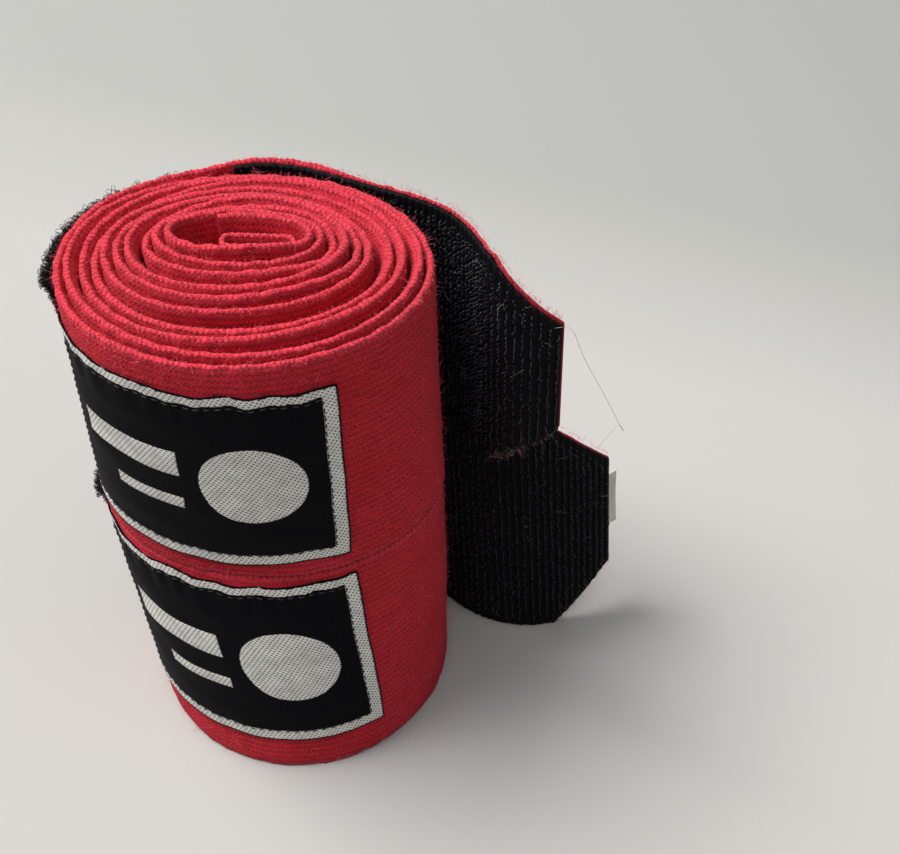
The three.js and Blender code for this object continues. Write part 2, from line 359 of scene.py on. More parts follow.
class Look:
    """A material's node tree, built by short calls. Coordinates are the cloth attribute, in millimetres."""

    def __init__(self, name):
        self.material = bpy.data.materials.new(name)
        self.material.use_nodes = True
        self.tree = self.material.node_tree
        self.tree.nodes.clear()
        self.shader = self.node("ShaderNodeBsdfPrincipled")
        output = self.node("ShaderNodeOutputMaterial")
        self.tree.links.new(self.shader.outputs["BSDF"], output.inputs["Surface"])

    def node(self, kind, inputs=None, **settings):
        node = self.tree.nodes.new(kind)
        for key, value in settings.items():
            setattr(node, key, value)
        for key, value in (inputs or {}).items():
            self.set(node.inputs[key], value)
        return node

    def set(self, socket, value):
        """Gives a socket a number, a colour or another node's output."""
        if isinstance(value, bpy.types.NodeSocket):
            self.tree.links.new(value, socket)
        elif value is not None:
            socket.default_value = value

    def principled(self, **values):
        for name, value in values.items():
            self.set(self.shader.inputs[name.replace("_", " ")], value)

    def cloth(self):
        return self.node("ShaderNodeAttribute", attribute_name="cloth").outputs["Vector"]

    def split(self, vector):
        return self.node("ShaderNodeSeparateXYZ", {0: vector}).outputs

    def join(self, x, y, z):
        return self.node("ShaderNodeCombineXYZ", {0: x, 1: y, 2: z}).outputs[0]

    def math(self, operation, a, b=None, c=None):
        return self.node("ShaderNodeMath", {0: a, 1: b, 2: c}, operation=operation).outputs[0]

    def plus(self, a, b):
        return self.math("ADD", a, b)

    def minus(self, a, b):
        return self.math("SUBTRACT", a, b)

    def times(self, a, b, plus=None):
        return self.math("MULTIPLY" if plus is None else "MULTIPLY_ADD", a, b, plus)

    def noise(self, vector, scale, detail=3.0, roughness=0.55):
        inputs = {"Vector": vector, "Scale": scale, "Detail": detail, "Roughness": roughness}
        return self.node("ShaderNodeTexNoise", inputs).outputs["Fac"]

    def shaken(self, vector, scale, amount):
        """The vector moved about by noise, so that what is drawn on it isn't ruler-straight."""
        def step(operation, inputs):
            return self.node("ShaderNodeVectorMath", inputs, operation=operation).outputs[0]

        noise = self.node("ShaderNodeTexNoise", {"Vector": vector, "Scale": scale}).outputs["Color"]
        centred = step("SUBTRACT", {0: noise, 1: (0.5, 0.5, 0.5)})
        return step("ADD", {0: vector, 1: step("SCALE", {0: centred, "Scale": amount})})

    def range(self, value, low, high, to_low=0.0, to_high=1.0):
        inputs = {"Value": value, "From Min": low, "From Max": high, "To Min": to_low, "To Max": to_high}
        return self.node("ShaderNodeMapRange", inputs, clamp=True).outputs[0]

    def mix(self, factor, a, b):
        node = self.node("ShaderNodeMix", data_type="RGBA")
        self.set(node.inputs["Factor"], factor)
        colours = [s for s in node.inputs if s.type == "RGBA"]
        self.set(colours[0], a)
        self.set(colours[1], b)
        return next(s for s in node.outputs if s.type == "RGBA")

    def wave(self, x, period):
        """A cosine from 0 to 1 with that period."""
        angle = self.times(x, 2 * math.pi / period)
        return self.times(self.math("COSINE", angle), 0.5, 0.5)

    def bump(self, height, distance, strength=1.0):
        inputs = {"Height": height, "Distance": distance * MM, "Strength": strength}
        self.principled(Normal=self.node("ShaderNodeBump", inputs).outputs[0])


def colour(*screen):
    """A shader colour from its red, green and blue on the screen, 0 to 255."""
    return tuple(((c / 255 + 0.055) / 1.055) ** 2.4 if c > 10 else c / 255 / 12.92 for c in screen) + (1,)


def cotton_look():
    """Brushed red cotton: rows of small stitches under a nap, with painted shade in the stitch recesses and
    fibre hollows, and a run of loops along each edge, painted paler on their crests as highlight.
    """
    look = Look("cotton")
    flat = look.cloth()
    s, v, out = look.split(look.shaken(flat, 0.5, 0.5))
    row = look.math("FLOOR", look.math("DIVIDE", v, 1.35))
    brick = look.times(row, 0.42, s)
    dots = look.times(look.wave(brick, 0.85), look.wave(v, 1.35))
    broken = look.range(look.noise(flat, 0.55, 3.0), 0.36, 0.6, 0.45, 1.0)
    dots = look.times(look.range(dots, 0.12, 0.62), broken)
    stretched = look.join(look.times(s, 2.0), look.times(v, 4.5), out)
    fibres = look.noise(stretched, 1.0, 4.0, 0.7)
    fine = look.noise(flat, 4.5, 3.0, 0.65)
    height = look.minus(look.times(fibres, 1.1), look.times(dots, 0.7))
    height = look.plus(height, look.times(fine, 0.5))

    flat_s, flat_v, flat_out = look.split(flat)
    from_middle = look.minus(flat_v, BAND_WIDTH / 2)
    from_bead = look.minus(look.math("ABSOLUTE", from_middle), BAND_WIDTH / 2 - SELVEDGE)
    edge = look.range(from_bead, -0.9, 0.1)
    around = look.math("ARCTAN2", from_bead, look.times(flat_out, -1.0))
    uneven = look.times(look.noise(flat, 0.5), 1.2, flat_s)
    winding = look.times(around, 1.4 * KNIT / (2 * math.pi), uneven)
    lit_loop_crests = look.times(look.range(look.wave(winding, KNIT), 0.2, 0.85), look.range(fine, 0.3, 0.6))
    worn = look.range(look.noise(flat, 0.09, 4.0), 0.35, 0.7)
    # The darkest red is painted shade: it darkens the stitch recesses, the hollows between the fibres and
    # the gaps between the selvedge loops.
    painted_shade_red, cloth_red, faded = colour(106, 0, 15), colour(210, 16, 38), colour(221, 35, 56)
    nap, pale = colour(238, 90, 104), colour(233, 80, 97)
    base = look.mix(worn, cloth_red, faded)
    base = look.mix(look.times(dots, 0.75), base, painted_shade_red)
    base = look.mix(look.range(fibres, 0.52, 0.34, 0.0, 0.6), base, painted_shade_red)
    base = look.mix(look.times(look.range(fine, 0.45, 0.72), 0.5), base, nap)
    # Painted highlight: each selvedge bead, most of all at the crests of its loops, is mixed towards the
    # pale red, and after that painted shade goes into the gaps between the loops.
    loops = look.times(edge, look.times(lit_loop_crests, 0.4, 0.28))
    base = look.mix(loops, base, pale)
    base = look.mix(look.times(edge, look.times(lit_loop_crests, -0.22, 0.22)), base, painted_shade_red)
    look.principled(Base_Color=base, Roughness=0.95, Sheen_Weight=0.12, Sheen_Roughness=0.5)
    look.principled(Sheen_Tint=(1, 0.5, 0.5, 1), Specular_IOR_Level=0.06)
    look.bump(height, 0.38, 0.9)
    return look.material


def fibre_look(name, tone, tip):
    """Loose fibres: their colour shifts from one to the next."""
    look = Look(name)
    shade = look.range(look.noise(look.cloth(), 0.8, 2.0), 0.35, 0.65)
    look.principled(Base_Color=look.mix(shade, tone, tip), Roughness=0.8, Specular_IOR_Level=0.25)
    return look.material


def thread_look(name, tone, ridge_highlight):
    """Sewing thread, with the slanting ridges of its twist, painted lighter on the ridges as highlight."""
    look = Look(name)
    s, v, _ = look.split(look.cloth())
    twist = look.wave(look.plus(s, look.times(v, 0.8)), 0.45)
    rough = look.noise(look.cloth(), 3.0, 2.0)
    # Painted highlight: the crests of the twist are mixed towards the lighter colour.
    look.principled(Base_Color=look.mix(look.times(twist, rough), tone, ridge_highlight), Roughness=0.6)
    look.principled(Specular_IOR_Level=0.35)
    look.bump(twist, 0.08, 0.8)
    return look.material


def web_look(name, tone, rib_highlight, rib):
    """The woven backing of hook and loop tape: close ribs with the picks crossing them, painted lighter
    where they stand highest as highlight.
    """
    look = Look(name)
    s, v, _ = look.split(look.shaken(look.cloth(), 0.6, 0.12))
    column = look.wave(s, rib)
    pick = look.wave(look.plus(v, look.times(column, 0.2)), 0.5)
    height = look.plus(look.times(column, 0.7), look.times(pick, 0.5))
    dust = look.range(look.noise(look.cloth(), 1.1, 5.0, 0.75), 0.62, 0.8)
    # Painted highlight: the higher the weave's bump, the lighter its colour.
    base = look.mix(look.range(height, 0.4, 1.1), tone, rib_highlight)
    base = look.mix(look.times(dust, 0.2), base, colour(90, 88, 92))
    look.principled(Base_Color=base, Roughness=0.75, Specular_IOR_Level=0.12)
    look.bump(height, 0.22, 0.9)
    return look.material


def filament_look(name, tone, tip, roughness, gloss=0.5):
    """Nylon filaments, glossier and a little different from one to the next. On the hooks the paler tone is
    partly their own and partly painted glint.
    """
    look = Look(name)
    shade = look.range(look.noise(look.cloth(), 0.9, 3.0, 0.7), 0.35, 0.7)
    look.principled(Base_Color=look.mix(shade, tone, tip), Roughness=roughness, Specular_IOR_Level=gloss)
    return look.material


# The label's plain figure, as (left, right, low, high) bars and one disc, from its right lower corner.
FIGURE_BARS = ((27, 46, 21, 26.5), (27, 40, 13, 15.5))
FIGURE_DISC = {"x": 15, "y": 20, "radius": 8.8}
BORDER = 2.6


def label_look():
    """Black woven satin with a pale woven border and figure. The cloth attribute counts from its corner."""
    look = Look("label")
    flat = look.cloth()
    x, y, _ = look.split(look.shaken(flat, 0.5, 0.2))
    plain_x, plain_y, _ = look.split(flat)
    one_way = look.wave(look.times(plain_y, 0.7, plain_x), 0.85)
    other_way = look.wave(look.times(plain_y, -1.5, plain_x), 1.1)
    satin = look.wave(look.times(plain_y, -1.1, plain_x), 0.95)

    def inside(value, low, high):
        soft = 0.12
        above = look.range(value, low - soft, low + soft)
        return look.times(above, look.range(value, high + soft, high - soft))

    length = look.node("ShaderNodeAttribute", attribute_name="label_length").outputs["Fac"]
    from_ends = look.math("MINIMUM", x, look.minus(length, x))
    from_top = look.times(look.minus(float(LABEL["height"]), y), 1.35)
    from_top = look.times(look.noise(flat, 0.45, 4.0), 1.6, look.minus(from_top, 0.7))
    from_edges = look.math("MINIMUM", y, from_top)
    pale = inside(look.math("MINIMUM", from_ends, from_edges), 0.35, BORDER)
    for left, right, low, high in FIGURE_BARS:
        bar = look.times(inside(x, left, right), inside(y, low, high))
        pale = look.math("MAXIMUM", pale, bar)
    dx = look.minus(x, FIGURE_DISC["x"])
    dy = look.minus(y, FIGURE_DISC["y"])
    square = look.plus(look.times(dx, dx), look.times(dy, dy))
    disc = look.range(look.math("SQRT", square), FIGURE_DISC["radius"] + 0.1, FIGURE_DISC["radius"] - 0.1)
    pale = look.math("MAXIMUM", pale, disc)

    weave = look.range(look.times(one_way, other_way), 0.75, 0.35)
    soil = look.noise(flat, 0.4, 4.0)
    white = look.mix(look.range(soil, 0.3, 0.7), colour(205, 204, 199), colour(236, 235, 229))
    white = look.mix(weave, colour(60, 59, 61), white)
    # Painted highlight: the satin's twill lines are mixed towards a lighter black.
    black = look.mix(look.times(satin, 0.8), colour(4, 4, 7), colour(13, 12, 17))
    lint = look.range(look.noise(flat, 2.2, 5.0, 0.8), 0.7, 0.84)
    black = look.mix(look.times(lint, 0.25), black, colour(90, 82, 88))
    height = look.plus(look.times(pale, look.times(weave, 0.5, 0.5)), look.times(satin, 0.4))
    look.principled(Base_Color=look.mix(pale, black, white), Roughness=look.range(pale, 0, 1, 0.6, 0.85))
    look.principled(Specular_IOR_Level=look.range(pale, 0, 1, 0.04, 0.2))
    look.bump(height, 0.12, 0.8)
    return look.material


def tag_look():
    """Pale nylon tape, blank, with a fine weave."""
    look = Look("care_tag")
    s, v, _ = look.split(look.cloth())
    height = look.plus(look.wave(s, 0.3), look.wave(v, 0.3))
    soil = look.range(look.noise(look.cloth(), 0.5), 0.3, 0.7)
    tone = look.mix(soil, colour(196, 194, 188), colour(222, 220, 214))
    look.principled(Base_Color=tone, Roughness=0.6)
    look.bump(height, 0.05, 0.6)
    return look.material


def floor_look():
    """A pale matt table top with the faintest grain, painted darker to the left as shade against the lamp's
    light there, and painted greyer behind the wraps as the shade of the backdrop.
    """
    look = Look("table")
    place = look.node("ShaderNodeTexCoord").outputs["Object"]
    x, y, z = look.split(place)
    behind = look.plus(look.times(x, 0.51), look.times(y, 0.86))
    behind = look.plus(behind, z)
    # Painted shade: the floor is darker to the left, where the ceiling lamp lights it most.
    near = look.mix(look.range(x, -0.12, 0.1), colour(159, 156, 154), colour(169, 167, 165))
    # Painted shade: the floor turns greyer behind the wraps, as the backdrop darkens away from the light.
    tone = look.mix(look.range(behind, 0.085, 0.15), near, colour(148, 149, 146))
    look.principled(Base_Color=tone, Roughness=0.6, Specular_IOR_Level=0.2)
    look.bump(look.noise(place, 900, 2.0), 0.02, 0.3)
    return look.material


# ---- The band ----

SELVEDGE = 0.56
BODY = 0.66
INNER_BODY = (0.8, 1.4)
KNIT = 1.05
# The pitch of the turns where the roll is wound tightest.
CLOSEST = 1.72


def band_section():
    """The ring of corners across the band: height, distance out, and angle round the selvedge (or nan)."""
    def bead(centre, angles):
        angles = np.radians(angles)
        return np.stack([centre + SELVEDGE * np.sin(angles), -SELVEDGE * np.cos(angles), angles], -1)

    top, bottom = BAND_WIDTH - SELVEDGE, SELVEDGE
    inner_v = np.array([bottom + 1.1, BAND_WIDTH / 2, top - 1.1])
    outer_v = np.array([top - 0.8, top - 3, BAND_WIDTH / 2, bottom + 3, bottom + 0.8])
    inner = np.stack([inner_v, np.full(3, -BODY), np.full(3, np.nan)], -1)
    outer = np.stack([outer_v, np.full(5, BODY), np.full(5, np.nan)], -1)
    upper, lower = bead(top, np.linspace(-10, 190, 9)), bead(bottom, np.linspace(170, 370, 5))
    return np.concatenate([inner, upper, outer, lower])


def band_corners(stations):
    """The ring's height, distance out and angle at each station along the band."""
    section = band_section()
    return (np.broadcast_to(column, (stations, len(section))) for column in section.T)


def knitted(points_s, v, out, angle, seed):
    """Moves the ring's corners out into the selvedge's twisted loops and the cloth's unevenness."""
    on_edge = ~np.isnan(angle)
    around = np.where(on_edge, angle, 0)
    loops = np.cos(2 * math.pi * points_s / KNIT + around * 1.4)
    lumps = ripples(np.stack([points_s, v, out * 3], -1), 2.6, seed)
    grow = np.where(on_edge, 0.05 * loops + 0.09 * lumps, 0.04 * lumps)
    v = v + np.where(on_edge, np.sin(around) * grow, 0)
    out = out + np.where(on_edge, -np.cos(around) * grow, np.sign(out) * grow)
    return v, out


def slack(wrap, turn):
    """How far each turn stands off the even spiral: a roll wound by hand is tight here and gapes there.

    A wrap's gaps are each (turns in from the outside, direction, half width in degrees, share)."""
    degrees = wrap["hinge_angle"] + 360 * (TURNS - turn)
    even = 0.12
    taken, total = even * turn, even * TURNS
    for inward, direction, half_width, share in wrap["gaps"]:
        off = (degrees - direction + 180) % 360 - 180
        size = share * hump(off, half_width)
        middle = TURNS - ((direction + 180 - wrap["hinge_angle"]) % 360) / 360 - inward
        taken = taken + size * smoothstep(turn, middle - 0.4, middle + 0.4)
        total = total + size
    spare = TURNS * (PITCH - CLOSEST)
    settled = smoothstep(turn, 0.1, 0.8) * (1 - smoothstep(turn, 8.6, 9.2))
    wobble = 0.12 * ripples_along(turn * 5.5, 1.0, wrap["seed"] + 5)
    return (spare * (taken / total - turn / TURNS) + wobble) * settled


def edge_rise(wrap, turn):
    """How far each turn's upper edge stands above its even height."""
    angle = 2 * math.pi * turn
    place = np.stack([1.3 * np.cos(angle), 1.3 * np.sin(angle), 1.1 * turn], -1)
    uneven = ripples(place, 2.2, wrap["seed"] + 3)
    joined = 1 - smoothstep(turn, TURNS - 0.1, TURNS)
    return (0.62 * uneven if wrap["raise"] > 0 else 0.05 * uneven + 0.15) * joined


def make_rolled_band(wrap, unrolled, material):
    stations = 4500
    s = np.linspace(0, unrolled.length, stations)[:, None]
    turn = unrolled.place(s)
    off = slack(wrap, turn)
    room = PITCH + off - slack(wrap, np.maximum(turn - 1, 0))
    inner_body = np.where(turn < 1, INNER_BODY[0], np.clip(room - BODY - 0.08, *INNER_BODY))
    v, out, angle = band_corners(stations)
    out = np.where(out == -BODY, -inner_body, out)
    s = np.broadcast_to(s, v.shape)
    v, out = knitted(s, v, out, angle, wrap["seed"] + 1)
    joined = 1 - smoothstep(turn, TURNS - 0.1, TURNS)
    bulge = 0.12 * ripples(np.stack([s, v * 0.8], -1), 16, wrap["seed"] + 2) * smoothstep(turn, 8.8, 9.3)
    lift = edge_rise(wrap, turn) * (v / BAND_WIDTH) ** 2
    pressed = -0.45 * (wrap["base"] > 0) * (1 - v / BAND_WIDTH) ** 4
    cloth = np.stack([s, v, out], -1)
    points = on_line(unrolled.line, turn, v + lift + pressed, out + off + bulge * joined)
    points[..., 2] = np.maximum(points[..., 2], 0)
    faces = tube_faces(*v.shape)
    piece = new_piece(wrap["name"] + "_rolled_band", points, faces, cloth, material)
    return attach(piece, wrap, "wrap", "band_roll")


def chamfer_at(s, end):
    return np.maximum(0, s - (end - CHAMFER))


# Under the hook tape the band is stretched thin, and lies against the tape.
THIN = 0.5
THIN_BACK = -FACE + 2 * THIN * BODY
THIN_FROM, THIN_BY = 22, 34
BEND_LENGTH = 6


def make_free_end(wrap, line, rolled_length, material):
    stations = 420
    places = np.linspace(0, FLAP_LENGTH, stations)[:, None]
    v, out, angle = band_corners(stations)
    s = np.broadcast_to(places, v.shape)
    v, out = knitted(s + rolled_length, v, out, angle, wrap["seed"] + 1)
    cloth = np.stack([s + rolled_length, v, out], -1)
    thin = smoothstep(s, THIN_FROM, THIN_BY)
    out = out * (1 - thin * (1 - THIN)) + thin * (THIN * BODY - FACE)
    drawn_in = chamfer_at(s, FLAP_LENGTH) + wrap["tucked"] * thin
    v = drawn_in + v * (BAND_WIDTH - 2 * drawn_in) / BAND_WIDTH
    points = on_line(line, s, v + flap_rise(wrap, s, v), out)
    faces = tube_faces(*v.shape)
    piece = new_piece(wrap["name"] + "_free_end", points, faces, cloth, material)
    start, end = (tuple(on_line(line, s, BAND_WIDTH / 2, 0) * MM) for s in (0, BEND_LENGTH))
    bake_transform(piece)
    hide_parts(wrap["name"] + "_band_flap")
    return piece


# ---- Slabs sewn on, and their seams ----


def make_slab(name, line, s_grid, v_grid, front, back, cloth, material):
    """A thin closed slab on a line: grids of place and height, and how far out its two faces are."""
    rows, columns = s_grid.shape
    points = np.stack([on_line(line, s_grid, v_grid, front), on_line(line, s_grid, v_grid, back)])
    both = np.stack([cloth, cloth + np.array([0, 0, -1.0])])
    return new_piece(name, points, sheet_faces(rows, columns), both.reshape(-1, 3), material)


def seam_path(corners, pitch):
    """Stitch centres and directions along a closed outline of (place, height) corners, pitch apart."""
    centres, directions = [], []
    for here, after in zip(corners, corners[1:] + corners[:1], strict=True):
        here, after = np.array(here, float), np.array(after, float)
        count = max(1, round(np.linalg.norm(after - here) / pitch))
        t = (np.arange(count) + 0.5) / count
        centres.append(here + t[:, None] * (after - here))
        directions.append(np.tile(unit(after - here), (count, 1)))
    return np.concatenate(centres), np.concatenate(directions)


def make_stitches(name, to_world, corners, pitch, radius, material, seed, sunk=0.0):
    """A seam of single stitches. to_world(place, height, rise) gives points on the sewn face."""
    rng = np.random.default_rng(seed)
    centres, directions = seam_path(corners, pitch)
    count = len(centres)
    centres = centres + rng.normal(0, 0.04, centres.shape)
    along = np.linspace(-0.5, 0.5, 7)
    rise = radius * np.array([-1.6, 0.1, 0.75, 0.95, 0.75, 0.1, -1.6]) - sunk
    length = pitch * rng.uniform(0.74, 0.86, count)
    place = centres[:, None, :] + directions[:, None, :] * along[None, :, None] * length[:, None, None]
    paths = to_world(place[..., 0], place[..., 1], np.broadcast_to(rise, place.shape[:2]))
    plane = unit(to_world(centres[:, 0], centres[:, 1], 1.0) - to_world(centres[:, 0], centres[:, 1], 0.0))
    points, faces = threads(paths, radius, plane, sides=6)
    flat_s, flat_v = np.repeat(place.reshape(-1, 2), 6, axis=0).T
    turned = np.tile(np.arange(6) * 0.2, len(flat_s) // 6)
    return new_piece(name, points, faces, np.stack([flat_s, flat_v + turned, turned], -1), material)


# ---- Hook tape ----

HOOK_COLUMN, HOOK_ROW = 1.3, 0.95
# One hook's profile: its rise as a share of the full height, and its reach over to one side in millimetres.
HOOK_UP = np.array([0, 0.3, 0.58, 0.82, 0.97, 0.95, 0.8, 0.62])
HOOK_OVER = np.array([0, 0.0, 0.03, 0.13, 0.32, 0.5, 0.6, 0.58]) * 0.8


def make_hook_tape(wrap, line, looks):
    name = wrap["name"]
    start, margin = HOOK_TAPE["start"], HOOK_TAPE["margin"]
    end = FLAP_LENGTH - margin
    s = np.linspace(start, end, 260)[:, None]
    across = np.linspace(0, 1, 90)[None, :]
    low = margin + chamfer_at(s, end)
    high = BAND_WIDTH - low
    jag = 0.12 * ripples_along(s[:, 0], 1.2, wrap["seed"] + 20)[:, None]
    v = low + (high - low) * across + jag * (2 * across - 1) ** 8
    s = np.broadcast_to(s, v.shape)
    rise = flap_rise(wrap, s, v)
    ribs = 0.06 * np.cos(2 * math.pi * s / HOOK_COLUMN)
    edge = np.minimum(v - low, high - v)
    selvedge = 0.10 * (1 - smoothstep(edge, 1.2, 2.2))
    near, far = -FACE - 0.06, -FACE - 0.06 - HOOK_TAPE["base"] - ribs - selvedge
    cloth = flat_cloth(s, v)
    web = make_slab(f"{name}_hook_tape_web", line, s, v + rise, near, far, cloth, looks["hook_web"])
    attach(web, wrap, "flap", "hook_tape")

    rng = np.random.default_rng(wrap["seed"] + 21)
    columns = np.arange(start + 0.9, end - 0.6, HOOK_COLUMN)
    rows = np.arange(margin + 2.3, BAND_WIDTH - margin - 2.2, HOOK_ROW)
    column, row = (grid.ravel() for grid in np.meshgrid(columns, rows, indexing="ij"))
    row = row + 0.47 * (np.round((column - columns[0]) / HOOK_COLUMN) % 2)
    edge_low = margin + chamfer_at(column, end)
    keep = (row > edge_low + 1.4) & (row < BAND_WIDTH - edge_low - 1.4)
    column, row = column[keep], row[keep]
    count = len(column)
    column = column + rng.normal(0, 0.07, count)
    row = row + rng.normal(0, 0.09, count)
    lean = rng.choice([-1, 1], count) * rng.uniform(0.7, 1.1, count)
    twist = rng.normal(0, 0.35, count)
    up = HOOK_UP * (HOOK_TAPE["height"] - HOOK_TAPE["base"] - 0.1)
    tall = rng.uniform(0.85, 1.08, count)[:, None]
    hook_s = column[:, None] + HOOK_OVER * (lean * np.sin(twist))[:, None]
    hook_v = row[:, None] + HOOK_OVER * (lean * np.cos(twist))[:, None]
    hook_out = near - HOOK_TAPE["base"] - up * tall
    paths = on_line(line, hook_s, hook_v + flap_rise(wrap, hook_s, hook_v), hook_out)
    out_way = unit(paths[:, 1] - paths[:, 0])
    over_way = unit(paths[:, -2] - paths[:, 2])
    points, faces = threads(paths, np.linspace(0.11, 0.085, len(up)), unit(np.cross(out_way, over_way)))
    tone = np.repeat(flat_cloth(column * 3.1, row * 3.7), len(up) * 4, axis=0)
    hooks = new_piece(f"{name}_hook_tape_hooks", points, faces, tone, looks["hooks"])
    attach(hooks, wrap, "flap")

    def on_back(place, height, rise):
        thick = BODY + (THIN_BACK - BODY) * smoothstep(place, THIN_FROM, THIN_BY)
        return on_line(line, place, height, thick + 0.03 + rise)

    inset = STITCH_INSET
    corner = CHAMFER - 0.4 * inset
    a, b, c, d = start + inset, end - inset, margin + inset, BAND_WIDTH - margin - inset
    corners = [(a, c), (b - corner, c), (b, c + corner), (b, d - corner), (b - corner, d), (a, d)]
    seed = wrap["seed"] + 22
    back = make_stitches(f"{name}_hook_tape_seam", on_back, corners, 2.4, 0.19, looks["red_thread"], seed)
    attach(back, wrap, "flap", "hook_tape_stitching")
    return [web, hooks, back]


# ---- Loop tape ----

PILE_LOOPS = 6200
# This share of the pile crowds within so many millimetres of the end that shows.
AT_END, END_REACH = 0.3, 24


def make_loop_tape(wrap, unrolled, looks):
    name, line = wrap["name"], unrolled.line
    s0 = unrolled.distance_to(facing(wrap, LOOP_TAPE["end"]))
    s1 = unrolled.distance_to(facing(wrap, wrap["hinge_angle"] + LOOP_TAPE["start"]))
    low, high = LOOP_TAPE["margin"], BAND_WIDTH - LOOP_TAPE["top_margin"]
    slant = LOOP_TAPE["end_lean"] / 360 * (unrolled.length - unrolled.distance_to(TURNS - 1))

    def end_at(v):
        return s0 - slant * (high - v) / (high - low)

    t = np.linspace(0, 1, 200)[:, None]
    across = np.linspace(0, 1, 60)[None, :]
    v = low + (high - low) * across + 0 * t
    s = end_at(v) + (s1 - end_at(v)) * t
    base = FACE + 0.2
    top = base + LOOP_TAPE["base"] + 0.05 * ripples(np.stack([s, v], -1), 5, wrap["seed"] + 30)
    cloth = flat_cloth(s, v)
    web = make_slab(f"{name}_loop_tape_web", line, unrolled.place(s), v, top, base, cloth, looks["loop_web"])
    attach(web, wrap, "wrap", "loop_tape")

    rng = np.random.default_rng(wrap["seed"] + 31)
    count = PILE_LOOPS
    by_end = rng.random(count) < AT_END
    at_v = np.where(by_end, high - 20 * rng.random(count) ** 2, rng.uniform(low + 1.0, high - 0.1, count))
    worn_off = 0.1 + 0.35 * (high - at_v)
    reach = np.where(by_end, END_REACH, s1 - end_at(at_v) - 0.3)
    from_end = 0.1 + reach * rng.random(count)
    at_s = end_at(at_v) + from_end
    fresh = smoothstep(from_end, 0.4 * worn_off, 1.1 * worn_off)
    swing = rng.uniform(0, 2 * math.pi, count)
    size = rng.uniform(0.35, 1.0, count) + 0.3 * smoothstep(at_v, high - 3, high)
    angle = np.linspace(-0.15, 1.15, 6)[None] * math.pi
    wide = 0.5 * size[:, None] * np.cos(angle)
    tall = (size * (0.16 + 0.84 * fresh))[:, None] * LOOP_TAPE["height"] * 0.62 * (0.12 + np.sin(angle))
    lean = rng.normal(0, 0.5, (count, 1)) * np.maximum(tall, 0)
    loop_s = at_s[:, None] + wide * np.cos(swing)[:, None] - lean * np.sin(swing)[:, None]
    loop_v = at_v[:, None] + wide * np.sin(swing)[:, None] + lean * np.cos(swing)[:, None]
    loop_v = np.clip(loop_v, low - 0.9, high + 1.3)
    loop_s = np.clip(loop_s, s0 - 1.4, s1 + 0.6)
    paths = on_line(line, unrolled.place(loop_s), loop_v, base + LOOP_TAPE["base"] + np.maximum(tall, -0.05))
    plane = unit(np.cross(paths[:, -1] - paths[:, 0], paths[:, 2] - paths[:, 0]) + 1e-9)
    points, faces = threads(paths, 0.05, plane, sides=3)
    tone = np.repeat(flat_cloth(at_s * 2.3, at_v * 2.9), angle.shape[1] * 3, axis=0)
    pile = new_piece(f"{name}_loop_tape_pile", points, faces, tone, looks["pile"])
    attach(pile, wrap, "wrap")

    def on_face(place, height, rise):
        return on_line(line, unrolled.place(place), height, base + LOOP_TAPE["base"] + rise)

    inset = STITCH_INSET
    b, c, d = s1 - inset, low + inset, high - inset
    corners = [(end_at(c) + inset, c), (b, c), (b, d), (end_at(d) + inset, d)]
    seed = wrap["seed"] + 32
    seam = make_stitches(f"{name}_loop_tape_seam", on_face, corners, 2.4, 0.17, looks["black_thread"], seed)
    attach(seam, wrap, "wrap", "loop_tape_stitching")
    return [web, pile, seam]


# ---- Label ----


